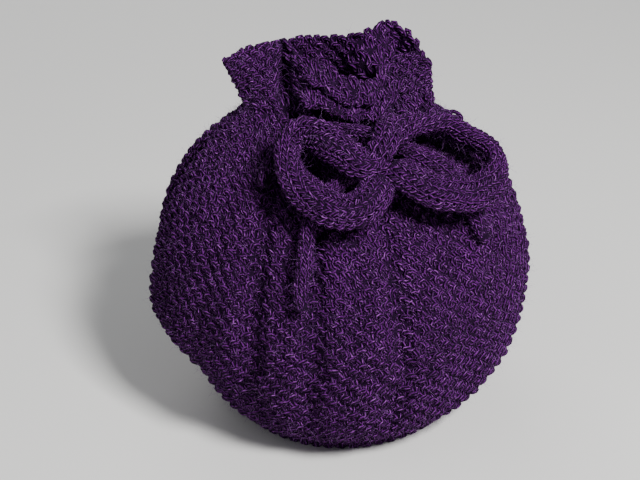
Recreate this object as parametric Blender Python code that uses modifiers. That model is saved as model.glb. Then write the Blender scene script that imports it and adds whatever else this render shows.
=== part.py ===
"""A knitted tea cosy: two halves with a ruffled frill, held at the neck by a tie in a bow.

Metres, +Z up. The origin is at the middle of the hem, on the surface the cosy stands on.
The front faces -Y, the spout side is -X and the handle side is +X. Run it with
blender --background --python part.py, or from Blender's text editor.
"""

import math

import bmesh
import bpy
from mathutils import Matrix, Vector

NAME = "tea_cosy"
FRONT, BACK = -1, 1
KNIT_COLOUR = (0.055, 0.012, 0.100)
KNIT_ROUGHNESS = 0.9
CORD_COLOUR = (0.065, 0.014, 0.115)
CORD_ROUGHNESS = 0.85

# Cloth
CLOTH_THICKNESS = 0.0030
COLUMNS = 38          # cells across one half, from the spout side to the handle side

# Body sections, hem to neck: height, reach to the spout side, to the handle side, to front and back.
SECTIONS = (
    # height, spout,  handle, front,  back
    (0.000, 0.0510, 0.0550, 0.0545, 0.0545),
    (0.004, 0.0510, 0.0550, 0.0545, 0.0545),
    (0.011, 0.0585, 0.0630, 0.0630, 0.0630),
    (0.020, 0.0640, 0.0705, 0.0705, 0.0705),
    (0.031, 0.0690, 0.0765, 0.0765, 0.0765),
    (0.043, 0.0790, 0.0802, 0.0800, 0.0800),
    (0.055, 0.0845, 0.0820, 0.0820, 0.0820),
    (0.067, 0.0830, 0.0825, 0.0825, 0.0825),
    (0.079, 0.0810, 0.0812, 0.0810, 0.0810),
    (0.091, 0.0775, 0.0778, 0.0772, 0.0775),
    (0.101, 0.0730, 0.0730, 0.0722, 0.0728),
    (0.110, 0.0675, 0.0672, 0.0655, 0.0665),
    (0.118, 0.0610, 0.0608, 0.0565, 0.0580),
    (0.125, 0.0540, 0.0538, 0.0455, 0.0470),
    (0.131, 0.0475, 0.0470, 0.0330, 0.0345),
    (0.135, 0.0430, 0.0420, 0.0230, 0.0240),
    (0.138, 0.0405, 0.0390, 0.0175, 0.0175),
)

# Half-width of the opening between the halves at each height: spout side, handle side.
OPENINGS = (
    # height, spout,  handle
    (0.000, 0.0005, 0.0005),
    (0.043, 0.0005, 0.0005),
    (0.055, 0.0125, 0.0030),
    (0.067, 0.0140, 0.0085),
    (0.091, 0.0130, 0.0092),
    (0.110, 0.0090, 0.0088),
    (0.125, 0.0035, 0.0050),
    (0.135, 0.0012, 0.0012),
)

# Frill rims above the neck, spout side to handle side: share of the way across, then the place.
FRONT_RIM = (
    # share,  x,      y,      z
    (0.00, -0.0472, -0.0045, 0.1600),
    (0.14, -0.0372, -0.0030, 0.1630),
    (0.26, -0.0263, -0.0010, 0.1640),
    (0.34, -0.0181, -0.0040, 0.1605),
    (0.44, -0.0108, -0.0050, 0.1630),
    (0.54, 0.0010, -0.0110, 0.1570),
    (0.62, 0.0092, -0.0120, 0.1560),
    (0.72, 0.0165, -0.0060, 0.1600),
    (0.86, 0.0274, -0.0040, 0.1625),
    (1.00, 0.0347, -0.0050, 0.1600),
)
BACK_RIM = (
    # share,  x,      y,      z
    (0.00, -0.0435, 0.0060, 0.1585),
    (0.12, -0.0408, 0.0100, 0.1604),
    (0.26, -0.0281, 0.0180, 0.1595),
    (0.40, -0.0135, 0.0210, 0.1608),
    (0.52, -0.0008, 0.0190, 0.1619),
    (0.62, 0.0092, 0.0150, 0.1640),
    (0.74, 0.0192, 0.0210, 0.1648),
    (0.88, 0.0301, 0.0130, 0.1630),
    (1.00, 0.0342, 0.0060, 0.1578),
)
FRILL_ROWS = 10

# Soft troughs that run down from the gathers: share across, width as a share, depth at neck and below.
FRONT_FOLDS = (
    # share, width, neck,   body
    (0.10, 0.030, 0.0020, 0.0000),
    (0.22, 0.035, 0.0020, 0.0010),
    (0.33, 0.035, 0.0030, 0.0024),
    (0.44, 0.035, 0.0022, 0.0022),
    (0.59, 0.035, 0.0022, 0.0022),
    (0.72, 0.035, 0.0026, 0.0006),
    (0.87, 0.035, 0.0022, 0.0000),
)
BACK_FOLDS = (
    # share, width, neck,   body
    (0.12, 0.035, 0.0022, 0.0008),
    (0.27, 0.035, 0.0028, 0.0020),
    (0.41, 0.035, 0.0024, 0.0006),
    (0.56, 0.035, 0.0028, 0.0022),
    (0.69, 0.035, 0.0022, 0.0010),
    (0.86, 0.035, 0.0024, 0.0006),
)
BODY_FOLD_FADE = (0.010, 0.045)   # heights between which the body's troughs grow from the hem up
NECK_FOLD_FADE = (0.095, 0.136)   # heights between which the gathers deepen towards the neck

# The frill's curl at centre front: two lips that roll outwards, one above the other.
CLEFT = {"share": 0.315, "width": 0.026, "depth": 0.0055}
LIPS = (
    # rise up the frill, spread of the lip, stand out, extra rise at its two ends, first and last share
    {"rise": 0.47, "spread": 0.30, "out": 0.0105, "ends": (0.22, 0.10), "first": 0.33, "last": 0.86},
    {"rise": 0.86, "spread": 0.28, "out": 0.0070, "ends": (0.30, 0.05), "first": 0.35, "last": 0.92},
)
LIP_END = 0.09                     # share across over which a lip rises from nothing
BACK_CURL = {"share": 0.64, "spread": 0.14, "depth": 0.0080}

# Tie cord: each stretch is a row of places on the front, as across, height and lift above the cloth.
LOOP_DIAMETER = 0.0106             # the cord is fuller in the bow's loops than where it is pulled tight
END_DIAMETER = 0.0072
CORD_STEP = 0.0066                 # spacing of a tube's own points, close enough for the small loops
CORD_ROUNDNESS = 2                 # cuts in each quarter of the tube's section
CURVE_CUTS = 16                    # points read from the curve between two places, to measure its length
TIE_ROUTES = {
    "tie_lead": (
        (-0.0305, 0.1215, 0.0036),
        (-0.0280, 0.1255, 0.0037),
        (-0.0235, 0.1300, 0.0038),
        (-0.0165, 0.1330, 0.0040),
        (-0.0080, 0.1345, 0.0040),
        (0.0015, 0.1340, 0.0045),
        (0.0085, 0.1330, 0.0060),
    ),
    "tie_loop_spout_side": (
        (0.0050, 0.1280, 0.0125),
        (-0.0005, 0.1290, 0.0132),
        (-0.0070, 0.1305, 0.0136),
        (-0.0125, 0.1315, 0.0138),
        (-0.0175, 0.1310, 0.0138),
        (-0.0205, 0.1290, 0.0136),
        (-0.0210, 0.1260, 0.0132),
        (-0.0185, 0.1230, 0.0129),
        (-0.0140, 0.1200, 0.0131),
        (-0.0075, 0.1175, 0.0135),
        (-0.0010, 0.1170, 0.0135),
        (0.0040, 0.1185, 0.0135),
        (0.0065, 0.1215, 0.0128),
    ),
    "tie_end_spout_side": (
        (0.0060, 0.1260, 0.0040),
        (0.0005, 0.1245, 0.0040),
        (-0.0050, 0.1220, 0.0038),
        (-0.0100, 0.1185, 0.0038),
        (-0.0125, 0.1140, 0.0038),
        (-0.0135, 0.1080, 0.0038),
        (-0.0145, 0.1015, 0.0038),
        (-0.0155, 0.0945, 0.0038),
        (-0.0155, 0.0875, 0.0038),
    ),
    "tie_loop_handle_side": (
        (0.0235, 0.1320, 0.0115),
        (0.0300, 0.1320, 0.0115),
        (0.0365, 0.1310, 0.0115),
        (0.0430, 0.1275, 0.0115),
        (0.0490, 0.1240, 0.0115),
        (0.0530, 0.1205, 0.0118),
        (0.0545, 0.1165, 0.0124),
        (0.0510, 0.1145, 0.0136),
        (0.0440, 0.1140, 0.0148),
        (0.0360, 0.1155, 0.0150),
        (0.0295, 0.1175, 0.0148),
        (0.0245, 0.1200, 0.0140),
        (0.0220, 0.1230, 0.0130),
    ),
    "tie_end_handle_side": (
        (0.0250, 0.1290, 0.0055),
        (0.0295, 0.1275, 0.0048),
        (0.0350, 0.1250, 0.0044),
        (0.0420, 0.1210, 0.0041),
        (0.0470, 0.1155, 0.0038),
        (0.0505, 0.1095, 0.0038),
        (0.0540, 0.1010, 0.0038),
    ),
}
KNOT_PLACE = (0.0160, 0.1290, 0.0095)
KNOT_SIZE = Vector((0.0100, 0.0150, 0.0120))   # across, up the slope, off the cloth
KNOT_LEAN = math.radians(-12)
KNOT_SEGMENTS = (16, 10)           # around and from end to end
FEEL = 0.0010                      # step over which the front's slope is read


def smooth(low, high, value):
    """0 below low, 1 above high, and a soft step between them."""
    share = min(max((value - low) / (high - low), 0.0), 1.0)
    return share * share * (3.0 - 2.0 * share)


def read_table(table, key):
    """The other columns of a table at key, on a smooth curve through its rows."""
    last = len(table) - 1
    row = 0
    while row < last - 1 and key > table[row + 1][0]:
        row += 1
    before, low, high, after = (table[min(max(row + i, 0), last)] for i in (-1, 0, 1, 2))
    span = high[0] - low[0]
    t = min(max((key - low[0]) / span, 0.0), 1.0)
    values = []
    for column in range(1, len(low)):
        rise_low = slope(before, low, high, column) * span
        rise_high = slope(low, high, after, column) * span
        values.append(
            low[column] * (1 + 2 * t) * (1 - t) ** 2
            + rise_low * t * (1 - t) ** 2
            + high[column] * t * t * (3 - 2 * t)
            + rise_high * t * t * (t - 1)
        )
    return values


def slope(before, here, after, column):
    """The curve's slope at a row: the mean of its two sides, or level where they turn back."""
    left = (here[column] - before[column]) / (here[0] - before[0]) if here is not before else None
    right = (after[column] - here[column]) / (after[0] - here[0]) if after is not here else None
    if left is None or right is None:
        return right if left is None else left
    return 0.0 if left * right <= 0 else 2 * left * right / (left + right)


def fold_depth(folds, share, height):
    """How far the cloth draws in at this place."""
    low, high = BODY_FOLD_FADE
    body = smooth(low, high, height)
    low, high = NECK_FOLD_FADE
    neck = smooth(low, high, height)
    depth = 0.0
    for centre, width, at_neck, on_body in folds:
        trough = math.exp(-(((share - centre) / width) ** 2))
        depth += trough * (on_body * body * (1 - neck) + at_neck * neck)
    return depth


def body_point(side, share, height):
    """A point of the body's outer face."""
    spout, handle, front, back = read_table(SECTIONS, height)
    spout_gap, handle_gap = read_table(OPENINGS, height)
    reach = front if side == FRONT else back
    first = math.asin(spout_gap / reach)
    last = math.asin(handle_gap / reach)
    angle = math.pi - first - share * (math.pi - first - last)
    depth = fold_depth(FRONT_FOLDS if side == FRONT else BACK_FOLDS, share, height)
    across = math.cos(angle) * (handle if angle < math.pi / 2 else spout)
    away = math.sin(angle) * reach
    inward = Vector((-math.cos(angle), -side * math.sin(angle), 0.0)) * depth
    return Vector((across, side * away, height)) + inward


def bump(offset, spread):
    """A rounded ridge: 1 in the middle and 0 one spread away."""
    return math.cos(0.5 * math.pi * offset / spread) ** 2 if abs(offset) < spread else 0.0


def frill_point(side, share, rise):
    """A point of the frill's outer face, from 0 at the neck to 1 at the rim."""
    neck = body_point(side, share, SECTIONS[-1][0])
    rim = Vector(read_table(FRONT_RIM if side == FRONT else BACK_RIM, share))
    place = neck.lerp(rim, rise)
    out = Vector((0.0, side, 0.0))
    if side == BACK:
        curl = bump(share - BACK_CURL["share"], BACK_CURL["spread"])
        return place - out * curl * BACK_CURL["depth"] * rise
    cleft = math.exp(-(((share - CLEFT["share"]) / CLEFT["width"]) ** 2))
    place -= out * cleft * CLEFT["depth"] * smooth(0.0, 0.5, rise)
    for lip in LIPS:
        window = smooth(lip["first"], lip["first"] + LIP_END, share)
        window *= 1 - smooth(lip["last"] - LIP_END, lip["last"], share)
        along = (share - lip["first"]) / (lip["last"] - lip["first"])
        lift = lip["ends"][0] * (1 - smooth(0.0, 0.5, along)) + lip["ends"][1] * smooth(0.5, 1.0, along)
        place += out * lip["out"] * window * bump(rise - lip["rise"] - lift, lip["spread"])
    return place


def front_face(across, height):
    """The front's outer face with its folds smoothed out."""
    spout, handle, front, _ = read_table(SECTIONS, height)
    share = across / (handle if across > 0 else spout)
    return Vector((across, -front * math.sqrt(1 - share * share), height))


def frame_on_front(across, height, lift):
    """A place above the front's face, with the directions across it, up it and off it as columns."""
    right = (front_face(across + FEEL, height) - front_face(across - FEEL, height)).normalized()
    up = (front_face(across, height + FEEL) - front_face(across, height - FEEL)).normalized()
    off = right.cross(up).normalized()
    axes = Matrix((right, off.cross(right), off)).transposed()
    return front_face(across, height) + off * lift, axes


def smooth_path(points, step):
    """Points one step apart, near enough, on a smooth curve through the given ones."""
    fine = []
    for i in range(len(points) - 1):
        before, low, high, after = (points[min(max(i + k, 0), len(points) - 1)] for k in (-1, 0, 1, 2))
        for k in range(CURVE_CUTS):
            t = k / CURVE_CUTS
            fine.append(
                0.5
                * (
                    2 * low
                    + (high - before) * t
                    + (2 * before - 5 * low + 4 * high - after) * t * t
                    + (3 * low - before - 3 * high + after) * t**3
                )
            )
    fine.append(points[-1])
    lengths = [0.0]
    for start, end in zip(fine, fine[1:]):
        lengths.append(lengths[-1] + (end - start).length)
    count = max(2, round(lengths[-1] / step))
    path = []
    row = 0
    for k in range(count + 1):
        want = lengths[-1] * k / count
        while row < len(fine) - 2 and lengths[row + 1] < want:
            row += 1
        share = (want - lengths[row]) / (lengths[row + 1] - lengths[row])
        path.append(fine[row].lerp(fine[row + 1], min(share, 1.0)))
    return path


def principled(name, colour, roughness):
    """A plain cloth material."""
    material = bpy.data.materials.new(name)
    material.use_nodes = True
    shader = material.node_tree.nodes["Principled BSDF"]
    shader.inputs["Base Color"].default_value = (*colour, 1.0)
    shader.inputs["Roughness"].default_value = roughness
    shader.inputs["Metallic"].default_value = 0.0
    return material


def add_half(name, side, collection, material):
    """One knitted half, hem to frill rim, as a loft of rows given its thickness by Solidify."""
    heights = [section[0] for section in SECTIONS]
    rows = [("body", height) for height in heights]
    rows += [("frill", (i + 1) / FRILL_ROWS) for i in range(FRILL_ROWS)]
    mesh = bpy.data.meshes.new(name)
    bm = bmesh.new()
    grid = []
    for part, place in rows:
        point = body_point if part == "body" else frill_point
        grid.append([bm.verts.new(point(side, i / COLUMNS, place)) for i in range(COLUMNS + 1)])
    for low, high in zip(grid, grid[1:]):
        for i in range(COLUMNS):
            corners = (low[i], low[i + 1], high[i + 1], high[i])
            bm.faces.new(corners if side == FRONT else reversed(corners))
    bm.to_mesh(mesh)
    bm.free()
    mesh.materials.append(material)
    mesh.shade_smooth()
    half = bpy.data.objects.new(name, mesh)
    collection.objects.link(half)
    solidify = half.modifiers.new("thickness", "SOLIDIFY")
    solidify.thickness = CLOTH_THICKNESS
    solidify.offset = -1.0
    return half


def add_cord(name, route, collection, material):
    """One stretch of the tie, as a round tube along its route over the front."""
    points = [frame_on_front(*place)[0] for place in route]
    path = smooth_path(points, CORD_STEP)
    curve = bpy.data.curves.new(name, "CURVE")
    curve.dimensions = "3D"
    curve.bevel_depth = (LOOP_DIAMETER if "loop" in name else END_DIAMETER) / 2
    curve.bevel_resolution = CORD_ROUNDNESS
    curve.use_fill_caps = True
    spline = curve.splines.new("POLY")
    spline.points.add(len(path) - 1)
    for target, point in zip(spline.points, path):
        target.co = (*point, 1.0)
    curve.materials.append(material)
    cord = bpy.data.objects.new(name, curve)
    collection.objects.link(cord)
    return cord


def add_knot(collection, material):
    """The bow's knot, an egg shape lying up the slope of the front."""
    place, axes = frame_on_front(*KNOT_PLACE)
    turn = axes.to_4x4() @ Matrix.Rotation(KNOT_LEAN, 4, "Z")
    mesh = bpy.data.meshes.new("tie_knot")
    bm = bmesh.new()
    size = Matrix.Diagonal((*KNOT_SIZE, 1.0))
    around, end_to_end = KNOT_SEGMENTS
    bmesh.ops.create_uvsphere(
        bm,
        u_segments=around,
        v_segments=end_to_end,
        radius=0.5,
        matrix=Matrix.Translation(place) @ turn @ size,
    )
    bm.to_mesh(mesh)
    bm.free()
    mesh.materials.append(material)
    mesh.shade_smooth()
    knot = bpy.data.objects.new("tie_knot", mesh)
    collection.objects.link(knot)
    return knot


def main():
    """Clears the scene and builds the two halves, the tie and its knot."""
    for old in list(bpy.data.objects):
        bpy.data.objects.remove(old, do_unlink=True)
    collection = bpy.data.collections.new(NAME)
    bpy.context.scene.collection.children.link(collection)
    knit = principled("purple_knit", KNIT_COLOUR, KNIT_ROUGHNESS)
    cord = principled("purple_cord", CORD_COLOUR, CORD_ROUGHNESS)
    add_half("front_half", FRONT, collection, knit)
    add_half("back_half", BACK, collection, knit)
    for name, route in TIE_ROUTES.items():
        add_cord(name, route, collection, cord)
    add_knot(collection, cord)


main()
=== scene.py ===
"""A knitted tea cosy: two moss-stitch halves with a ruffled frill, and a knitted tie in a bow.

Every stitch is a loop of yarn that follows the cloth's folds. Lengths are in metres. The front
faces -Y, the spout side is -X and the handle side is +X.
"""

import math

import bmesh
import bpy
import numpy as np
from bpy.props import FloatProperty, FloatVectorProperty, IntProperty, PointerProperty
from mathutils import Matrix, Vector


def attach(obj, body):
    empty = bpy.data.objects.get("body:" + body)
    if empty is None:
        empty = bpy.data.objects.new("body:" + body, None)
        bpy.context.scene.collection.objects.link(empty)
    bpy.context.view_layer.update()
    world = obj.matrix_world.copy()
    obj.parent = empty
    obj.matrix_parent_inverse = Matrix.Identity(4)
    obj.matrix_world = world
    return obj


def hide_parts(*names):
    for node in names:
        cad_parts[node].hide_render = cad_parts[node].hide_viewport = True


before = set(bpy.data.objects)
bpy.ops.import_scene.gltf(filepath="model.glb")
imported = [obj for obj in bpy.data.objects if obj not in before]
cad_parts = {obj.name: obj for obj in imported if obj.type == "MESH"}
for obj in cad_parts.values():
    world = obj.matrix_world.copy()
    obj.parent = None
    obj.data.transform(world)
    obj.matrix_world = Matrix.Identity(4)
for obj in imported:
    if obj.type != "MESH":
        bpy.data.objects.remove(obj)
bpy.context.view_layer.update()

bl_info = {
    "name": "Knitted tea cosy",
    "version": (1, 0, 0),
    "blender": (4, 5, 0),
    "location": "View3D > Sidebar > Tea cosy",
    "description": "Knits a tea cosy stitch by stitch over its folded cloth",
    "category": "Object",
}

FRONT, BACK = -1, 1

# The cloth's form, as it was built
SECTIONS = (
    # height, spout,  handle, front,  back
    (0.000, 0.0510, 0.0550, 0.0545, 0.0545),
    (0.004, 0.0510, 0.0550, 0.0545, 0.0545),
    (0.011, 0.0585, 0.0630, 0.0630, 0.0630),
    (0.020, 0.0640, 0.0705, 0.0705, 0.0705),
    (0.031, 0.0690, 0.0765, 0.0765, 0.0765),
    (0.043, 0.0790, 0.0802, 0.0800, 0.0800),
    (0.055, 0.0845, 0.0820, 0.0820, 0.0820),
    (0.067, 0.0830, 0.0825, 0.0825, 0.0825),
    (0.079, 0.0810, 0.0812, 0.0810, 0.0810),
    (0.091, 0.0775, 0.0778, 0.0772, 0.0775),
    (0.101, 0.0730, 0.0730, 0.0722, 0.0728),
    (0.110, 0.0675, 0.0672, 0.0655, 0.0665),
    (0.118, 0.0610, 0.0608, 0.0565, 0.0580),
    (0.125, 0.0540, 0.0538, 0.0455, 0.0470),
    (0.131, 0.0475, 0.0470, 0.0330, 0.0345),
    (0.135, 0.0430, 0.0420, 0.0230, 0.0240),
    (0.138, 0.0405, 0.0390, 0.0175, 0.0175),
)
OPENINGS = (
    # height, half-width on the spout side, on the handle side
    (0.000, 0.0005, 0.0005),
    (0.043, 0.0005, 0.0005),
    (0.055, 0.0125, 0.0030),
    (0.067, 0.0140, 0.0085),
    (0.091, 0.0130, 0.0092),
    (0.110, 0.0090, 0.0088),
    (0.125, 0.0035, 0.0050),
    (0.135, 0.0012, 0.0012),
)
RIMS = {
    FRONT: (
        # share,  x,      y,      z
        (0.00, -0.0472, -0.0045, 0.1600),
        (0.14, -0.0372, -0.0030, 0.1630),
        (0.26, -0.0263, -0.0010, 0.1640),
        (0.34, -0.0181, -0.0040, 0.1605),
        (0.44, -0.0108, -0.0050, 0.1630),
        (0.54, 0.0010, -0.0110, 0.1570),
        (0.62, 0.0092, -0.0120, 0.1560),
        (0.72, 0.0165, -0.0060, 0.1600),
        (0.86, 0.0274, -0.0040, 0.1625),
        (1.00, 0.0347, -0.0050, 0.1600),
    ),
    BACK: (
        (0.00, -0.0435, 0.0060, 0.1585),
        (0.12, -0.0408, 0.0100, 0.1604),
        (0.26, -0.0281, 0.0180, 0.1595),
        (0.40, -0.0135, 0.0210, 0.1608),
        (0.52, -0.0008, 0.0190, 0.1619),
        (0.62, 0.0092, 0.0150, 0.1650),
        (0.74, 0.0192, 0.0210, 0.1672),
        (0.88, 0.0301, 0.0130, 0.1645),
        (1.00, 0.0342, 0.0060, 0.1578),
    ),
}
FOLDS = {
    FRONT: (
        # share, width, neck,   body
        (0.10, 0.030, 0.0020, 0.0000),
        (0.22, 0.035, 0.0020, 0.0010),
        (0.33, 0.022, 0.0040, 0.0046),
        (0.44, 0.022, 0.0030, 0.0042),
        (0.59, 0.022, 0.0030, 0.0042),
        (0.72, 0.030, 0.0030, 0.0014),
        (0.87, 0.035, 0.0022, 0.0000),
    ),
    BACK: (
        # share, width, neck,   body
        (0.12, 0.035, 0.0022, 0.0008),
        (0.27, 0.035, 0.0028, 0.0020),
        (0.41, 0.035, 0.0024, 0.0006),
        (0.56, 0.035, 0.0028, 0.0022),
        (0.69, 0.035, 0.0022, 0.0010),
        (0.86, 0.035, 0.0024, 0.0006),
    ),
}
BODY_FOLD_FADE = (0.010, 0.045)
NECK_FOLD_FADE = (0.095, 0.136)
CLEFT = {"share": 0.285, "width": 0.028, "depth": 0.0115}
LIPS = (
    # rise up the frill, stand out, droop, extra rise at its two ends, first and last share
    {"rise": 0.48, "out": 0.0135, "droop": 0.0035, "ends": (0.10, 0.06), "first": 0.29, "last": 0.80},
    {"rise": 0.76, "out": 0.0105, "droop": 0.0040, "ends": (0.12, 0.10), "first": 0.31, "last": 0.76},
)
LIP_UNDER, LIP_OVER = 0.12, 0.30
LIP_END = 0.10
BACK_CURL = {"share": 0.64, "spread": 0.14, "depth": 0.0115}
NECK = SECTIONS[-1][0]

# The tie's stretches: across, height and lift above the front
TIE_ROUTES = {
    "tie_lead": (
        (-0.0305, 0.1215, 0.0036),
        (-0.0280, 0.1255, 0.0037),
        (-0.0235, 0.1300, 0.0038),
        (-0.0165, 0.1330, 0.0040),
        (-0.0080, 0.1345, 0.0040),
        (0.0015, 0.1340, 0.0045),
        (0.0085, 0.1330, 0.0060),
        (0.0140, 0.1310, 0.0080),
    ),
    "tie_loop_spout_side": (
        (0.0145, 0.1260, 0.0110),
        (0.0110, 0.1250, 0.0120),
        (0.0060, 0.1250, 0.0130),
        (0.0005, 0.1270, 0.0136),
        (-0.0055, 0.1290, 0.0138),
        (-0.0110, 0.1305, 0.0138),
        (-0.0155, 0.1305, 0.0138),
        (-0.0190, 0.1285, 0.0136),
        (-0.0195, 0.1260, 0.0132),
        (-0.0175, 0.1225, 0.0129),
        (-0.0135, 0.1195, 0.0131),
        (-0.0075, 0.1165, 0.0135),
        (-0.0010, 0.1150, 0.0135),
        (0.0050, 0.1155, 0.0135),
        (0.0095, 0.1180, 0.0125),
        (0.0130, 0.1220, 0.0110),
    ),
    "tie_end_spout_side": (
        (0.0060, 0.1260, 0.0040),
        (0.0005, 0.1245, 0.0040),
        (-0.0050, 0.1220, 0.0038),
        (-0.0100, 0.1185, 0.0038),
        (-0.0125, 0.1140, 0.0038),
        (-0.0135, 0.1080, 0.0038),
        (-0.0145, 0.1015, 0.0038),
        (-0.0155, 0.0945, 0.0038),
        (-0.0155, 0.0875, 0.0038),
    ),
    "tie_loop_handle_side": (
        (0.0160, 0.1305, 0.0100),
        (0.0225, 0.1320, 0.0115),
        (0.0300, 0.1320, 0.0115),
        (0.0365, 0.1310, 0.0115),
        (0.0430, 0.1275, 0.0115),
        (0.0490, 0.1240, 0.0115),
        (0.0530, 0.1205, 0.0118),
        (0.0545, 0.1165, 0.0124),
        (0.0510, 0.1145, 0.0136),
        (0.0440, 0.1140, 0.0148),
        (0.0360, 0.1155, 0.0150),
        (0.0295, 0.1175, 0.0148),
        (0.0240, 0.1205, 0.0135),
        (0.0180, 0.1245, 0.0110),
    ),
    "tie_end_handle_side": (
        (0.0200, 0.1300, 0.0070),
        (0.0245, 0.1285, 0.0075),
        (0.0295, 0.1265, 0.0075),
        (0.0345, 0.1240, 0.0070),
        (0.0410, 0.1205, 0.0055),
        (0.0470, 0.1155, 0.0038),
        (0.0505, 0.1095, 0.0038),
        (0.0540, 0.1010, 0.0038),
    ),
}
KNOT_ROUTE = (
    (0.0110, 0.1260, 0.0050),
    (0.0110, 0.1255, 0.0100),
    (0.0125, 0.1265, 0.0140),
    (0.0145, 0.1280, 0.0155),
    (0.0160, 0.1300, 0.0150),
    (0.0175, 0.1325, 0.0110),
    (0.0190, 0.1360, 0.0050),
)
PATH_STEP = 0.0010
CURVE_CUTS = 16                    # points read from a curve between two places, to measure its length
FEEL = 0.001                       # step over which the front's slope is read
BODY_MIDDLE = (0.0, 0.0, 0.062)
END_SHAPE = {
    "width": 0.0072, "flatness": 0.86, "around": 6, "tip": 1.6, "roll": 0, "rolls_at": 0.5, "rolls_over": 0.5,
    "far_end": "bare", "lay": "hanging",
}
TIE_SHAPES = {
    "tie_lead": END_SHAPE | {"far_end": "object", "lay": "taut"},
    "tie_loop_spout_side": END_SHAPE | {
        "width": 0.0106, "flatness": 1.32, "around": 9, "tip": 0.3, "roll": 80, "rolls_at": 0.42,
        "rolls_over": 0.28, "far_end": "object", "lay": "loose",
    },
    "tie_end_spout_side": END_SHAPE | {"width": 0.0068, "tip": 2.0},
    "tie_loop_handle_side": END_SHAPE | {
        "width": 0.0106, "flatness": 1.30, "around": 9, "tip": 0.3, "roll": 60, "rolls_at": 0.30,
        "rolls_over": 0.40, "far_end": "object", "lay": "loose",
    },
    "tie_end_handle_side": END_SHAPE | {"flatness": 1.15},
}
PULLED_LOOP = {"stretch": "tie_loop_handle_side", "share": 0.25, "reach": 0.0042, "half_width": 0.0026}
KNOT_SHAPE = END_SHAPE | {"width": 0.0095, "flatness": 1.15, "around": 7, "tip": 0.4}

# Knitting. From each height up, how many stitches a row has
DECREASES = ((0.000, 59), (0.108, 53), (0.115, 47), (0.121, 41), (0.127, 35), (0.133, 29))
GRID_ROWS, GRID_COLUMNS = 240, 240
FRILL_SHARE = 0.3                  # share of the grid's rows that the frill has
LOOP_REACH = 0.62                  # a loop's reach up and down, in rows
LOOP_LEAN = 0.20                   # how far a loop's sides lean out, in stitches
LOOP_TURN = 0.12                   # share of a stitch over which the yarn turns between two stitches
SELVEDGE_REACH = (0.45, 0.25)      # how far the yarn runs past the edge in turn, in stitches
UNEVEN = {"lean": 0.25, "reach": 0.09, "depth": 0.15, "drift": 0.10, "yarn": 0.07, "cord_reach": 0.12}
DRIFT_MARKS = 9                    # places along a row between which it drifts up and down
CORD_LEAN = 0.27
CORD_LOOP_REACH = 0.60
CORD_DEPTH = 0.8
CORD_INSET = 0.3                   # share of a stitch's depth that the cord's yarn lies in from its surface
CORD_TIP_CLOSING = 0.8             # how far a cord's tip draws in
CORE_SHARE = 0.74                  # the core's width in the cord's width
BACKING_CELLS = (90, 90)
BACKING_THICKNESS = 0.0006
BACKING_EDGE = 0.001               # how far it stops short of the hem and the rim
SEAM_LAP = 0.0025                  # how far it runs past the sides, as a share of the width
YARN_MAP = "yarn"
YARN_SIDES = 6
STITCH_SAMPLES = {FRONT: 10, BACK: 8}
CORD_SAMPLES = 12
PLIES = 4.0
STROKE_SCALE = (500.0, 2.5)        # the plies' fibres, to a metre along the yarn and to each ply
BLOTCH_SCALE = 90.0
SPECK_SCALE = 1500.0
RELIEF_DEPTH = 0.0005
HAIR_LENGTH = 0.0036
HAIR_WIDTH = 0.00005
HAIR_FLOOR = 0.0004
HAIR_STAND = 1.2                   # how much a fibre stands off rather than lies
HAIR_CURL = 0.9
HAIR_SPREAD = 2.5                  # shape of the spread of lengths
HAIR_ROOTS = (-0.0002, 0.0015)     # depths that fibres start from
HAIR_LEAN_DEPTH = 0.0030           # depth that they point away from
TIE_HAIR_ROOTS = 0.42              # share of the tie's width that they start from

# Eyelets that the tie is threaded through, in the front half
EYELETS = (
    # share across, length up from the hem, radius
    (0.293, 0.1560, 0.0026),
    (0.297, 0.1475, 0.0028),
)
EYELET_REACH = 2.2

# Stage
LOOK_AT = Vector((-0.0089, 0.0049, 0.0704))
CAMERA_DISTANCE = 0.6
CAMERA_DOWN = 30.0
FRAME_WIDTH = 0.2848               # width that the camera sees at LOOK_AT
SENSOR_WIDTH = 36.0
FLOOR_REACH = 3.0
FLOOR_COLOUR = (0.75, 0.74, 0.72, 1.0)
SKY_COLOUR = (0.86, 0.92, 1.0, 1.0)
SKY_STRENGTH = 0.15
LAMPS = (
    # name, place, size, power
    ("key", (0.50, -0.70, 1.00), 0.25, 28.5),
    ("fill", (-1.0, -0.6, 1.2), 1.0, 3.2),
    ("back", (-0.4, 1.2, 0.9), 1.0, 8.0),
)


def smooth(low, high, values):
    """0 below low, 1 above high, and a soft step between them."""
    share = np.clip((np.asarray(values, float) - low) / (high - low), 0.0, 1.0)
    return share * share * (3.0 - 2.0 * share)


def bump(offsets, spread):
    """A rounded ridge: 1 in the middle and 0 one spread away."""
    return np.where(np.abs(offsets) < spread, np.cos(0.5 * math.pi * offsets / spread) ** 2, 0.0)


def read_table(table, keys):
    """The other columns of a table at each key, on a smooth curve that never overshoots its rows."""
    rows = np.array(table)
    stops, values = rows[:, 0], rows[:, 1:]
    spans = np.diff(stops)
    rises = np.diff(values, axis=0) / spans[:, None]
    left, right = rises[:-1], rises[1:]
    turning = left * right <= 0
    slopes = np.empty_like(values)
    slopes[0], slopes[-1] = rises[0], rises[-1]
    slopes[1:-1] = np.where(turning, 0.0, 2 * left * right / np.where(turning, 1.0, left + right))
    keys = np.asarray(keys, float)
    low = np.clip(np.searchsorted(stops, keys, side="right") - 1, 0, len(spans) - 1)
    span = spans[low][..., None]
    t = np.clip((keys[..., None] - stops[low][..., None]) / span, 0.0, 1.0)
    return (
        values[low] * (1 + 2 * t) * (1 - t) ** 2
        + slopes[low] * span * t * (1 - t) ** 2
        + values[low + 1] * t * t * (3 - 2 * t)
        + slopes[low + 1] * span * t * t * (t - 1)
    )


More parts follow.
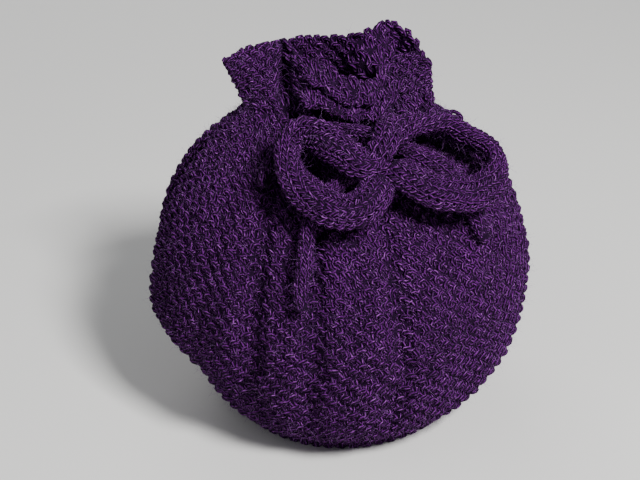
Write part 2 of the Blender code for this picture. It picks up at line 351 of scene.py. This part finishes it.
def body_points(side, share, height):
    """Points of the body's outer face."""
    spout, handle, front, back = np.moveaxis(read_table(SECTIONS, height), -1, 0)
    spout_gap, handle_gap = np.moveaxis(read_table(OPENINGS, height), -1, 0)
    reach = front if side == FRONT else back
    first, last = np.arcsin(spout_gap / reach), np.arcsin(handle_gap / reach)
    angle = math.pi - first - share * (math.pi - first - last)
    body, neck = smooth(*BODY_FOLD_FADE, height), smooth(*NECK_FOLD_FADE, height)
    depth = np.zeros_like(share)
    for centre, width, at_neck, on_body in FOLDS[side]:
        trough = np.exp(-(((share - centre) / width) ** 2))
        depth = depth + trough * (on_body * body * (1 - neck) + at_neck * neck)
    across = np.cos(angle) * np.where(angle < math.pi / 2, handle, spout)
    away = side * np.sin(angle) * reach
    inward = np.stack((-np.cos(angle), -side * np.sin(angle)), axis=-1) * depth[..., None]
    return np.stack((across + inward[..., 0], away + inward[..., 1], height + 0 * share), axis=-1)


def frill_points(side, share, rise):
    """Points of the frill's outer face, from 0 at the neck to 1 at the rim."""
    neck = body_points(side, share, np.full_like(share, NECK))
    place = neck + (read_table(RIMS[side], share) - neck) * rise[..., None]
    if side == BACK:
        curl = bump(share - BACK_CURL["share"], BACK_CURL["spread"]) * bump(rise - 0.5, 0.5)
        out = -BACK_CURL["depth"] * curl
    else:
        cleft = np.exp(-(((share - CLEFT["share"]) / CLEFT["width"]) ** 2))
        out = -cleft * CLEFT["depth"] * smooth(0.0, 0.5, rise)
        for lip in LIPS:
            window = smooth(lip["first"], lip["first"] + LIP_END, share)
            window = window * (1 - smooth(lip["last"] - LIP_END, lip["last"], share))
            along = (share - lip["first"]) / (lip["last"] - lip["first"])
            ends = lip["ends"][0] * (1 - smooth(0.0, 0.5, along)) + lip["ends"][1] * smooth(0.5, 1.0, along)
            offset = rise - lip["rise"] - ends
            ridge = window * np.where(offset < 0, bump(offset, LIP_UNDER), bump(offset, LIP_OVER))
            out = out + lip["out"] * ridge
            place[..., 2] -= lip["droop"] * ridge
    place[..., 1] += side * out
    return place


class Cloth:
    """One half's outer face, read by share across and length up from the hem."""

    def __init__(self, side):
        self.side = side
        body_rows = round(GRID_ROWS * (1 - FRILL_SHARE))
        share = np.linspace(0.0, 1.0, GRID_COLUMNS)
        share, height = np.meshgrid(share, np.linspace(0.0, NECK, body_rows))
        body = body_points(side, share, height)
        share, rise = np.meshgrid(share[0], np.linspace(0.0, 1.0, GRID_ROWS - body_rows + 1)[1:])
        self.places = np.concatenate((body, frill_points(side, share, rise)))
        steps = np.linalg.norm(np.diff(self.places, axis=0), axis=2).mean(axis=1)
        self.lengths = np.concatenate(([0.0], np.cumsum(steps)))
        self.heights = self.places[..., 2].mean(axis=1)
        self.length = self.lengths[-1]
        up, across = np.gradient(self.places, axis=0), np.gradient(self.places, axis=1)
        off = np.cross(across, up) * -side
        self.normals = off / np.maximum(np.linalg.norm(off, axis=2, keepdims=True), 1e-9)

    def row_of(self, along):
        """Grid rows, with their fractions, at lengths up from the hem; past an end it runs straight on."""
        low = np.clip(np.searchsorted(self.lengths, along) - 1, 0, len(self.lengths) - 2)
        return low, (along - self.lengths[low]) / (self.lengths[low + 1] - self.lengths[low])

    def at(self, share, along, depth):
        """Places at these shares across and lengths up, this far in from the outer face."""
        row, up = self.row_of(along)
        column = np.clip((share * (GRID_COLUMNS - 1)).astype(int), 0, GRID_COLUMNS - 2)
        over = share * (GRID_COLUMNS - 1) - column
        up, over = up[..., None], over[..., None]

        def blend(grid):
            low = grid[row, column] * (1 - over) + grid[row, column + 1] * over
            high = grid[row + 1, column] * (1 - over) + grid[row + 1, column + 1] * over
            return low * (1 - up) + high * up

        return blend(self.places) - blend(self.normals) * depth[..., None]


def stitch_counts(heights):
    """How many stitches a row has at each height."""
    starts, counts = np.array(DECREASES).T
    return counts[np.searchsorted(starts, heights, side="right") - 1].astype(int)


def open_eyelets(cloth, share, along):
    """Shares and lengths moved aside round the eyelets, as their stitches are."""
    row, _ = cloth.row_of(along)
    width = np.linalg.norm(cloth.places[row, -1] - cloth.places[row, 0], axis=-1) * math.pi / 2
    for at_share, at_length, radius in EYELETS:
        over, up = (share - at_share) * width, along - at_length
        away = np.maximum(np.hypot(over, up), 1e-5)
        push = radius * np.exp(-((away / (EYELET_REACH * radius)) ** 2)) / away
        share, along = share + over * push / width, along + up * push
    return share, along


def knitted_rows(cloth, settings, samples, chance):
    """Moss-stitch rows, hem to rim, as (points, thickness) strands: plain and purl loops in turn."""
    strands = []
    height = settings.row_height
    rows = int((cloth.length - 2 * LOOP_REACH * height) / height) + 1
    height = cloth.length / (rows - 1 + 2 * LOOP_REACH)
    for row in range(rows):
        middle = (row + LOOP_REACH) * height
        count = int(stitch_counts(np.interp(middle, cloth.lengths, cloth.heights)))
        over = SELVEDGE_REACH[row % 2]
        walk = np.arange(-over, count + over + 0.5 / samples, 1.0 / samples)
        stitch = np.floor(walk).astype(int)
        t = walk - stitch
        plain = np.where((stitch + row) % 2 == 0, 1.0, -1.0)
        wide = LOOP_LEAN * (1 + UNEVEN["lean"] * chance.standard_normal(count + 4))[stitch + 2]
        tall = LOOP_REACH * (1 + UNEVEN["reach"] * chance.standard_normal(count + 4))[stitch + 2]
        deep = settings.stitch_depth * (1 + UNEVEN["depth"] * chance.standard_normal(count + 4))[stitch + 2]
        marks = np.linspace(-1, count + 1, DRIFT_MARKS)
        drift = np.interp(walk, marks, chance.normal(0.0, UNEVEN["drift"], DRIFT_MARKS))
        ends = smooth(0.0, LOOP_TURN, t) * smooth(0.0, LOOP_TURN, 1 - t)
        share = (walk + wide * np.sin(4 * math.pi * t)) / count
        along = middle + (drift - tall * np.cos(2 * math.pi * t)) * height
        if cloth.side == FRONT:
            share, along = open_eyelets(cloth, share, along)
        depth = settings.yarn_depth + plain * deep * np.cos(2 * math.pi * t) * ends
        marks = np.arange(-2, count + 3)
        thickness = np.interp(walk, marks, chance.normal(1.0, UNEVEN["yarn"], len(marks)))
        places = cloth.at(share, along, depth)
        places[:, 2] = np.maximum(places[:, 2], settings.yarn_diameter / 2)
        strands.append((places, thickness))
    return strands


def smooth_path(points, step):
    """Points about one step apart on a smooth curve through the given ones."""
    points = np.array(points)
    padded = np.concatenate((points[:1], points, points[-1:]))
    t = np.linspace(0.0, 1.0, CURVE_CUTS, endpoint=False)[:, None]
    fine = [points[-1:]]
    for i in reversed(range(len(points) - 1)):
        before, low, high, after = padded[i : i + 4]
        fine.insert(0, 0.5 * (
            2 * low
            + (high - before) * t
            + (2 * before - 5 * low + 4 * high - after) * t * t
            + (3 * low - before - 3 * high + after) * t**3
        ))
    fine = np.concatenate(fine)
    lengths = lengths_along(fine)
    wanted = np.linspace(0.0, lengths[-1], max(2, round(lengths[-1] / step)) + 1)
    return np.stack([np.interp(wanted, lengths, fine[:, axis]) for axis in range(3)], axis=1)


def lengths_along(points):
    """The length run up to each point of a path."""
    return np.concatenate(([0.0], np.cumsum(np.linalg.norm(np.diff(points, axis=0), axis=1))))


def front_place(across, height, lift):
    """A place above the front's face with its folds smoothed out."""
    def face(x, z):
        spout, handle, front, _ = read_table(SECTIONS, z)
        share = x / (handle if x > 0 else spout)
        return np.array((x, -front * math.sqrt(1 - share * share), z))

    right = face(across + FEEL, height) - face(across - FEEL, height)
    up = face(across, height + FEEL) - face(across, height - FEEL)
    off = np.cross(right, up)
    return face(across, height) + off / np.linalg.norm(off) * lift


def cord_frames(path):
    """The direction across a cord as it lies, and the direction off the body, at each point of it."""
    forward = np.gradient(path, axis=0)
    forward /= np.linalg.norm(forward, axis=1, keepdims=True)
    off = path - np.array(BODY_MIDDLE)
    off -= forward * (off * forward).sum(axis=1, keepdims=True)
    off /= np.linalg.norm(off, axis=1, keepdims=True)
    return np.cross(forward, off), off


def knitted_cord(path, shape, settings, samples, chance):
    """A knitted cord's yarn: one strand that spirals round the path in plain stitches."""
    width, flatness, around = shape["width"], shape["flatness"], shape["around"]
    lengths = lengths_along(path)
    sides, offs = cord_frames(path)
    roll = bump(lengths / lengths[-1] - shape["rolls_at"], shape["rolls_over"])[:, None]
    roll = math.radians(shape["roll"]) * roll
    sides, offs = sides * np.cos(roll) + offs * np.sin(roll), offs * np.cos(roll) - sides * np.sin(roll)
    total = lengths[-1] / settings.cord_row * around
    walk = np.arange(0.0, total, 1.0 / samples)
    stitch = np.floor(walk).astype(int)
    t = walk - stitch
    uneven = 1 + UNEVEN["cord_reach"] * chance.standard_normal(stitch[-1] + 2)
    angle = 2 * math.pi * (walk + CORD_LEAN * np.sin(4 * math.pi * t)) / around
    along = walk / around * settings.cord_row
    along = along - CORD_LOOP_REACH * settings.cord_row * uneven[stitch] * np.cos(2 * math.pi * t)
    along = np.clip(along, 0.0, lengths[-1])
    inset = settings.cord_yarn / 2 + CORD_INSET * settings.stitch_depth
    inset = inset + CORD_DEPTH * settings.stitch_depth * np.cos(4 * math.pi * t)
    closing = np.clip(1 - np.minimum(along, lengths[-1] - along) / (shape["tip"] * width), 0.0, 1.0)
    closed = np.sqrt(1 - CORD_TIP_CLOSING * closing**2)
    wide = (width / 2 * flatness - inset) * closed
    thick = (width / 2 / flatness - inset) * closed

    def read(values):
        return np.stack([np.interp(along, lengths, values[:, axis]) for axis in range(3)], axis=1)

    out = read(sides) * (np.cos(angle) * wide)[:, None] + read(offs) * (np.sin(angle) * thick)[:, None]
    marks = np.arange(-1, int(total) + 3)
    thickness = np.interp(walk, marks, chance.normal(1.0, UNEVEN["yarn"], len(marks)))
    return read(path) + out, thickness


def add_piece(name, mesh, material):
    """A finished mesh as one piece of the cosy."""
    mesh.materials.clear()
    mesh.materials.append(material)
    piece = bpy.data.objects.new(name, mesh)
    bpy.context.scene.collection.objects.link(piece)
    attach(piece, "root")
    return piece


def add_yarn(name, strands, diameter, sides, material):
    """Strands of yarn as one mesh of round tubes, with the length run and the turn as its UV map."""
    curve = bpy.data.curves.new(name, "CURVE")
    curve.dimensions = "3D"
    curve.bevel_depth = diameter / 2
    curve.bevel_resolution = sides // 2 - 2
    curve.use_fill_caps = True
    for points, thickness in strands:
        spline = curve.splines.new("POLY")
        spline.points.add(len(points) - 1)
        places = np.concatenate((points, np.ones((len(points), 1))), axis=1)
        spline.points.foreach_set("co", places.astype(np.float32).ravel())
        spline.points.foreach_set("radius", np.asarray(thickness, np.float32))
    holder = bpy.data.objects.new(name, curve)
    bpy.context.scene.collection.objects.link(holder)
    mesh = bpy.data.meshes.new_from_object(holder.evaluated_get(bpy.context.evaluated_depsgraph_get()))
    bpy.data.objects.remove(holder)
    bpy.data.curves.remove(curve)
    yarn_map = mesh.uv_layers[0]
    yarn_map.name = YARN_MAP
    places = np.empty(2 * len(mesh.loops), np.float32)
    yarn_map.data.foreach_get("uv", places)
    places = places.reshape(-1, 2)
    tube_corners = [4 * sides * (len(points) - 1) for points, _ in strands]
    scale = np.repeat([lengths_along(points)[-1] for points, _ in strands], tube_corners)
    places[-len(scale):, 0] *= scale
    places[: len(places) - len(scale)] = 0.0
    yarn_map.data.foreach_set("uv", places.ravel())
    return add_piece(name, mesh, material)


class Number:
    """A number on a node socket, so that a material's sums read as sums."""

    def __init__(self, tree, socket):
        self.tree, self.socket = tree, socket

    def sum(self, operation, *inputs):
        made = node(self.tree, "ShaderNodeMath", {"operation": operation}, dict(enumerate(inputs)))
        return Number(self.tree, made.outputs[0])

    def __add__(self, other):
        return self.sum("ADD", self, other)

    def __sub__(self, other):
        return self.sum("SUBTRACT", self, other)

    def __mul__(self, other):
        return self.sum("MULTIPLY", self, other)

    def __rsub__(self, other):
        return self.sum("SUBTRACT", other, self)

    __radd__, __rmul__ = __add__, __mul__

    def sine(self):
        return self.sum("SINE", self)

    def ramp(self, low, high):
        """0 below low, 1 above high, with a soft step between."""
        soft = {"interpolation_type": "SMOOTHSTEP"}
        made = node(self.tree, "ShaderNodeMapRange", soft, {0: self, 1: low, 2: high})
        return Number(self.tree, made.outputs[0])


def node(tree, kind, settings=None, inputs=None):
    """A node of this kind with its settings made and its inputs linked or set."""
    made = tree.nodes.new(kind)
    for name, value in (settings or {}).items():
        setattr(made, name, value)
    for name, value in (inputs or {}).items():
        socket = made.inputs[name]
        source = value.socket if isinstance(value, Number) else value
        if isinstance(source, bpy.types.NodeSocket):
            tree.links.new(source, socket)
        else:
            socket.default_value = source
    return made


def mix_colours(tree, share, first, second):
    """One colour turned into another by a share from 0 to 1."""
    made = node(tree, "ShaderNodeMix", {"data_type": "RGBA"}, {0: share, 6: first, 7: second})
    return made.outputs[2]


def wool(name, settings, plies=True):
    """Wool with its plies wound round the yarn, coloured with painted shade between the plies and painted
    highlights on them; without plies it is the cloth behind, coloured almost wholly in painted shade.
    """
    material = bpy.data.materials.new(name)
    material.use_nodes = True
    tree = material.node_tree
    shader = tree.nodes["Principled BSDF"]
    shader.inputs["Specular IOR Level"].default_value = 0.12
    shader.inputs["Sheen Weight"].default_value = settings.sheen if plies else 0.0
    shader.inputs["Sheen Roughness"].default_value = 0.45
    shader.inputs["Sheen Tint"].default_value = (*settings.light_colour, 1.0)
    shader.inputs["Roughness"].default_value = 0.92
    place = node(tree, "ShaderNodeTexCoord").outputs["Object"]
    blotches = node(tree, "ShaderNodeTexNoise", {}, {"Vector": place, "Scale": BLOTCH_SCALE, "Detail": 3.0})
    specks = node(tree, "ShaderNodeTexNoise", {}, {"Vector": place, "Scale": SPECK_SCALE, "Detail": 3.0})
    specks = Number(tree, specks.outputs[0])
    light = Number(tree, blotches.outputs[0]).ramp(0.30, 0.70) * 0.35 + specks.ramp(0.35, 0.70) * 0.5
    relief = specks * 0.8
    # pale fibre specks at random
    flecks_and_highlights = specks.ramp(0.60, 0.72) * 0.5
    if plies:
        runs = node(tree, "ShaderNodeUVMap", {"uv_map": YARN_MAP}).outputs[0]
        runs = node(tree, "ShaderNodeSeparateXYZ", {}, {0: runs})
        along, around = Number(tree, runs.outputs[0]), Number(tree, runs.outputs[1])
        twist = around * PLIES + along * (1 / settings.ply_pitch)
        lie = node(tree, "ShaderNodeCombineXYZ", {}, {0: along * STROKE_SCALE[0], 1: twist * STROKE_SCALE[1]})
        strokes = {"Vector": lie.outputs[0], "Scale": 1.0, "Detail": 2.0}
        strokes = Number(tree, node(tree, "ShaderNodeTexNoise", {}, strokes).outputs[0])
        ply = (twist * (2 * math.pi)).sine() * 0.5 + 0.5
        # painted light: the colour darkens to painted shade in the grooves between the plies and lightens to
        # a painted highlight on their crests; the noise in the brackets is the wool's random tone
        light = ply.ramp(0.20, 1.00) * (light * 0.8 + strokes.ramp(0.42, 0.64) * 1.1 + 0.03)
        relief = relief + ply * 1.6 + strokes * 1.2
        # painted highlight: pale marks on the ply crests, where the light catches
        flecks_and_highlights = flecks_and_highlights + strokes.ramp(0.56, 0.72) * ply * 0.8
    else:
        # the cloth behind and the tie's core: almost all painted shade, with a faint trace of random tone
        light = light * 0.08
        flecks_and_highlights = flecks_and_highlights * 0.1
    # the mix runs from the painted shade colour to the lit colour
    colour = mix_colours(tree, light.socket, (*settings.dark_tone_and_shade_colour, 1.0), (*settings.light_colour, 1.0))
    colour = mix_colours(tree, flecks_and_highlights.socket, colour, (*settings.fleck_and_highlight_colour, 1.0))
    tree.links.new(colour, shader.inputs["Base Color"])
    relief = node(tree, "ShaderNodeBump", {}, {"Strength": 1.0, "Distance": RELIEF_DEPTH, "Height": relief})
    tree.links.new(relief.outputs[0], shader.inputs["Normal"])
    return material


def made_once(name, make):
    """The material of this name, made the first time it is asked for."""
    return bpy.data.materials.get(name) or make()


class CosySettings(bpy.types.PropertyGroup):
    """The yarn, the gauge and the colours that the cosy is knitted in."""

    yarn_diameter: FloatProperty(
        name="Yarn", description="Thickness of the yarn",
        default=0.0021, min=0.001, max=0.004, unit="LENGTH",
    )
    yarn_depth: FloatProperty(
        name="Yarn depth", description="How far the yarn's middle lies in from the outer face",
        default=0.0013, min=0.0, max=0.003, unit="LENGTH",
    )
    row_height: FloatProperty(
        name="Row height", description="Height of one row of stitches",
        default=0.0035, min=0.002, max=0.008, unit="LENGTH",
    )
    stitch_depth: FloatProperty(
        name="Stitch depth", description="How far a loop stands in front of and behind the cloth",
        default=0.0012, min=0.0, max=0.003, unit="LENGTH",
    )
    cord_row: FloatProperty(
        name="Tie row", description="Height of one row of the tie's stitches",
        default=0.0027, min=0.002, max=0.008, unit="LENGTH",
    )
    cord_yarn: FloatProperty(
        name="Tie yarn", description="Thickness of the yarn in the tie's close stitches",
        default=0.0018, min=0.001, max=0.004, unit="LENGTH",
    )
    ply_pitch: FloatProperty(
        name="Ply length", description="Length of yarn in one turn of its plies",
        default=0.0024, min=0.001, max=0.01, unit="LENGTH",
    )
    sheen: FloatProperty(
        name="Sheen", description="Pale bloom of the wool's fibres",
        default=0.06, min=0.0, max=1.0,
    )
    # painted shade: the colour the wool takes in its hollows and between its plies, where shade falls; also
    # the dark end of its random tone, and nearly all of the cloth behind and the tie's core
    dark_tone_and_shade_colour: FloatVectorProperty(
        name="Deep colour", description="The wool in its hollows",
        default=(0.0050, 0.0004, 0.0085), min=0.0, max=1.0, subtype="COLOR",
    )
    light_colour: FloatVectorProperty(
        name="Light colour", description="The wool where it catches the light",
        default=(0.120, 0.0100, 0.172), min=0.0, max=1.0, subtype="COLOR",
    )
    # pale fibres at random, and painted highlights on the ply crests
    fleck_and_highlight_colour: FloatVectorProperty(
        name="Fleck and highlight colour", description="Pale fibres on the yarn and painted highlights on its plies",
        default=(0.40, 0.135, 0.50), min=0.0, max=1.0, subtype="COLOR",
    )
    fibre_colour: FloatVectorProperty(
        name="Fibre colour", description="Loose fibres",
        default=(0.20, 0.07, 0.27), min=0.0, max=1.0, subtype="COLOR",
    )
    hairs: IntProperty(
        name="Fibres", description="Loose fibres over each half",
        default=9000, min=0, max=20000,
    )
    tie_hairs: IntProperty(
        name="Tie fibres", description="Loose fibres to each metre of the tie",
        default=6000, min=0, max=20000,
    )


def add_backing(side, cloth, settings):
    """The thin closed cloth behind one half's stitches, coloured almost wholly in painted shade, which shows
    through the gaps between them.
    """
    rows, columns = BACKING_CELLS
    shares = np.linspace(-SEAM_LAP, 1.0 + SEAM_LAP, columns + 1)
    share, along = np.meshgrid(shares, np.linspace(BACKING_EDGE, cloth.length - BACKING_EDGE, rows + 1))
    places = cloth.at(share, along, np.full_like(share, settings.yarn_depth - BACKING_THICKNESS / 2))
    bm = bmesh.new()
    grid = [[bm.verts.new(place) for place in row] for row in places]
    for low, high in zip(grid, grid[1:]):
        for i in range(columns):
            corners = (low[i], low[i + 1], high[i + 1], high[i])
            bm.faces.new(corners if side == FRONT else reversed(corners))
    name = "front_cloth" if side == FRONT else "back_cloth"
    mesh = bpy.data.meshes.new(name)
    bm.to_mesh(mesh)
    bm.free()
    mesh.shade_smooth()
    # painted shade: the cloth behind is coloured as the shade between the stitches
    material = made_once("wool_in_painted_shade", lambda: wool("wool_in_painted_shade", settings, plies=False))
    backing = add_piece(name, mesh, material)
    thickness = backing.modifiers.new("thickness", "SOLIDIFY")
    thickness.thickness = BACKING_THICKNESS
    thickness.offset = -1.0
    return backing


def knit_half(side, settings):
    """One half: its backing and its stitches."""
    chance = np.random.default_rng(7 if side == FRONT else 11)
    cloth = Cloth(side)
    backing = add_backing(side, cloth, settings)
    word = "front" if side == FRONT else "back"
    strands = knitted_rows(cloth, settings, STITCH_SAMPLES[side], chance)
    material = made_once("wool_yarn", lambda: wool("wool_yarn", settings))
    part = len(strands) * 2 // 5
    parts = {
        f"{word}_lower_stitches": strands[:part],
        f"{word}_upper_stitches": strands[part : 2 * part],
        f"{word}_frill_stitches": strands[2 * part :],
    }
    pieces = [
        add_yarn(name, rows, settings.yarn_diameter, YARN_SIDES, material)
        for name, rows in parts.items()
    ]
    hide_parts(f"{word}_half")


def pulled_loop(path, width):
    """A loop of yarn pulled out of a cord's upper edge."""
    spot = round(PULLED_LOOP["share"] * (len(path) - 1))
    sides, offs = cord_frames(path)
    forward = np.cross(offs[spot], sides[spot])
    turn = np.linspace(-0.2 * math.pi, 1.2 * math.pi, 21)[:, None]
    up = 0.40 * width + PULLED_LOOP["reach"] * (0.4 + 0.6 * np.sin(turn))
    over = PULLED_LOOP["half_width"] * np.cos(turn)
    return path[spot] - sides[spot] * up + forward * over + offs[spot] * 0.2 * width


def add_tie_stretch(name, route, shape, settings, chance):
    """One stretch of the tie, as its core in painted shade, the stitches round it and the path that both
    follow.
    """
    path = smooth_path([front_place(*place) for place in route], PATH_STEP)
    shade_wool = made_once("wool_in_painted_shade", lambda: wool("wool_in_painted_shade", settings, plies=False))
    # painted shade: a dark core that shows between the cord's stitches, where the inside of the cord is in
    # shade
    core = add_yarn(name, [(path, np.ones(len(path)))], CORE_SHARE * shape["width"], 10, shade_wool)
    strand = knitted_cord(path, shape, settings, CORD_SAMPLES, chance)
    yarn = made_once("wool_yarn", lambda: wool("wool_yarn", settings))
    stitches = add_yarn(f"{name}_stitches", [strand], settings.cord_yarn, YARN_SIDES, yarn)
    return core, stitches, path


def add_fibres(name, roots, off, chance, settings):
    """Loose fibres that stand off these roots, as thin curved ribbons."""
    count = len(roots)
    way = off * HAIR_STAND + chance.normal(0.0, 1.0, (count, 3))
    way /= np.linalg.norm(way, axis=1, keepdims=True)
    turn = chance.normal(0.0, HAIR_CURL, (count, 3))
    reach = chance.gamma(HAIR_SPREAD, HAIR_LENGTH / HAIR_SPREAD, count) / 2
    reach = np.minimum(reach, HAIR_LENGTH)[:, None]
    across = np.cross(way, turn)
    across *= HAIR_WIDTH / 2 / np.linalg.norm(across, axis=1, keepdims=True)
    middles = roots + way * reach
    tips = middles + (way + turn) / np.linalg.norm(way + turn, axis=1, keepdims=True) * reach
    corners = np.stack((roots - across, roots + across, middles - across, middles + across, tips), axis=1)
    corners[..., 2] = np.maximum(corners[..., 2], HAIR_FLOOR)
    first = 5 * np.arange(count)[:, None]
    quads, ends = first + np.array((0, 1, 3, 2)), first + np.array((2, 3, 4))
    mesh = bpy.data.meshes.new(name)
    mesh.from_pydata(corners.reshape(-1, 3), [], quads.tolist() + ends.tolist())
    return add_piece(name, mesh, made_once("wool_fibre", lambda: fibre("wool_fibre", settings)))


def fuzz_half(side, settings):
    """The fibres over one half."""
    chance = np.random.default_rng(31 if side == FRONT else 37)
    cloth = Cloth(side)
    share = chance.uniform(0.0, 1.0, settings.hairs)
    along = chance.uniform(0.0, cloth.length, settings.hairs)
    roots = cloth.at(share, along, chance.uniform(*HAIR_ROOTS, settings.hairs))
    off = roots - cloth.at(share, along, np.full(settings.hairs, HAIR_LEAN_DEPTH))
    off /= np.linalg.norm(off, axis=1, keepdims=True)
    name = "front_fuzz" if side == FRONT else "back_fuzz"
    return add_fibres(name, roots, off, chance, settings)


def fuzz_tie(settings):
    """The fibres over the tie and its knot."""
    chance = np.random.default_rng(41)
    roots, off = [], []
    cords = [(TIE_ROUTES[name], TIE_SHAPES[name]) for name in TIE_ROUTES]
    for route, shape in [*cords, (KNOT_ROUTE, KNOT_SHAPE)]:
        path = smooth_path([front_place(*place) for place in route], PATH_STEP)
        sides, offs = cord_frames(path)
        count = round(lengths_along(path)[-1] * settings.tie_hairs)
        spot, angle = chance.integers(0, len(path), count), chance.uniform(0.0, 2 * math.pi, count)[:, None]
        out = sides[spot] * np.cos(angle) + offs[spot] * np.sin(angle)
        roots.append(path[spot] + out * TIE_HAIR_ROOTS * shape["width"])
        off.append(out)
    return add_fibres("tie_fuzz", np.concatenate(roots), np.concatenate(off), chance, settings)


def fibre(name, settings):
    """The plain pale wool of a single loose fibre."""
    material = bpy.data.materials.new(name)
    material.use_nodes = True
    shader = material.node_tree.nodes["Principled BSDF"]
    shader.inputs["Base Color"].default_value = (*settings.fibre_colour, 1.0)
    shader.inputs["Roughness"].default_value = 0.6
    return material


class COSY_OT_knit_front(bpy.types.Operator):
    """Knits the front half with its frill"""

    bl_idname = "cosy.knit_front"
    bl_label = "Knit the front"

    def execute(self, context):
        knit_half(FRONT, context.scene.cosy)
        return {"FINISHED"}


class COSY_OT_knit_back(bpy.types.Operator):
    """Knits the back half with its frill"""

    bl_idname = "cosy.knit_back"
    bl_label = "Knit the back"

    def execute(self, context):
        knit_half(BACK, context.scene.cosy)
        return {"FINISHED"}


class COSY_OT_knit_tie(bpy.types.Operator):
    """Knits the tie and its bow"""

    bl_idname = "cosy.knit_tie"
    bl_label = "Knit the tie"

    def execute(self, context):
        settings = context.scene.cosy
        chance = np.random.default_rng(23)
        stretches = {}
        for name, route in TIE_ROUTES.items():
            piece_name = name.replace("tie_", "tie_cord_")
            stretches[name] = add_tie_stretch(piece_name, route, TIE_SHAPES[name], settings, chance)
        knot, knot_stitches, _ = add_tie_stretch("tie_cord_knot", KNOT_ROUTE, KNOT_SHAPE, settings, chance)
        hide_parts("tie_knot")
        path = stretches[PULLED_LOOP["stretch"]][2]
        loop = pulled_loop(path, TIE_SHAPES[PULLED_LOOP["stretch"]]["width"])
        yarn = bpy.data.materials["wool_yarn"]
        strand = (loop, np.ones(len(loop)))
        add_yarn("tie_pulled_loop", [strand], settings.cord_yarn, YARN_SIDES, yarn)
        for name, (core, stitches, path) in stretches.items():
            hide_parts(name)
        return {"FINISHED"}


class COSY_OT_raise_fuzz(bpy.types.Operator):
    """Raises the wool's loose fibres"""

    bl_idname = "cosy.raise_fuzz"
    bl_label = "Raise the fuzz"

    def execute(self, context):
        for side in (FRONT, BACK):
            fuzz_half(side, context.scene.cosy)
        fuzz_tie(context.scene.cosy)
        return {"FINISHED"}


class COSY_OT_set_stage(bpy.types.Operator):
    """Sets the floor, the light and the camera"""

    bl_idname = "cosy.set_stage"
    bl_label = "Set the stage"

    def execute(self, context):
        scene = context.scene
        mesh = bpy.data.meshes.new("floor")
        bm = bmesh.new()
        bmesh.ops.create_grid(bm, x_segments=1, y_segments=1, size=FLOOR_REACH)
        bm.to_mesh(mesh)
        bm.free()
        floor = bpy.data.objects.new("floor", mesh)
        scene.collection.objects.link(floor)
        plain = bpy.data.materials.new("floor")
        plain.use_nodes = True
        shader = plain.node_tree.nodes["Principled BSDF"]
        shader.inputs["Base Color"].default_value = FLOOR_COLOUR
        shader.inputs["Roughness"].default_value = 0.9
        mesh.materials.append(plain)
        world = bpy.data.worlds.new("studio")
        world.use_nodes = True
        background = world.node_tree.nodes["Background"]
        background.inputs[0].default_value = SKY_COLOUR
        background.inputs[1].default_value = SKY_STRENGTH
        scene.world = world
        for name, place, size, power in LAMPS:
            light = bpy.data.lights.new(name, "AREA")
            light.size = size
            light.energy = power
            lamp = bpy.data.objects.new(name, light)
            lamp.location = place
            lamp.rotation_euler = (LOOK_AT - Vector(place)).to_track_quat("-Z", "Y").to_euler()
            scene.collection.objects.link(lamp)
        camera = bpy.data.objects.new("camera", bpy.data.cameras.new("camera"))
        camera.data.sensor_width = SENSOR_WIDTH
        camera.data.lens = SENSOR_WIDTH * CAMERA_DISTANCE / FRAME_WIDTH
        tilt = math.radians(CAMERA_DOWN)
        camera.location = LOOK_AT + Vector((0.0, -math.cos(tilt), math.sin(tilt))) * CAMERA_DISTANCE
        camera.rotation_euler = (math.pi / 2 - tilt, 0.0, 0.0)
        camera.data.clip_start = 0.01
        scene.collection.objects.link(camera)
        scene.camera = camera
        return {"FINISHED"}


class COSY_PT_panel(bpy.types.Panel):
    """Sizes, colours and steps of the tea cosy"""

    bl_label = "Tea cosy"
    bl_idname = "COSY_PT_panel"
    bl_space_type = "VIEW_3D"
    bl_region_type = "UI"
    bl_category = "Tea cosy"

    def draw(self, context):
        settings = context.scene.cosy
        for name in settings.__annotations__:
            self.layout.prop(settings, name)
        for step in STEPS:
            self.layout.operator(step.bl_idname)


STEPS = (COSY_OT_knit_front, COSY_OT_knit_back, COSY_OT_knit_tie, COSY_OT_raise_fuzz, COSY_OT_set_stage)


def register():
    """Adds the settings, the steps and the panel to Blender."""
    bpy.utils.register_class(CosySettings)
    bpy.types.Scene.cosy = PointerProperty(type=CosySettings)
    for step in STEPS:
        bpy.utils.register_class(step)
    bpy.utils.register_class(COSY_PT_panel)


def unregister():
    """Takes them out again."""
    bpy.utils.unregister_class(COSY_PT_panel)
    for step in reversed(STEPS):
        bpy.utils.unregister_class(step)
    del bpy.types.Scene.cosy
    bpy.utils.unregister_class(CosySettings)


def main():
    """Knits the cosy and sets the stage."""
    register()
    bpy.ops.cosy.knit_front()
    bpy.ops.cosy.knit_back()
    bpy.ops.cosy.knit_tie()
    bpy.ops.cosy.raise_fuzz()
    bpy.ops.cosy.set_stage()


if __name__ == "__main__":
    main()
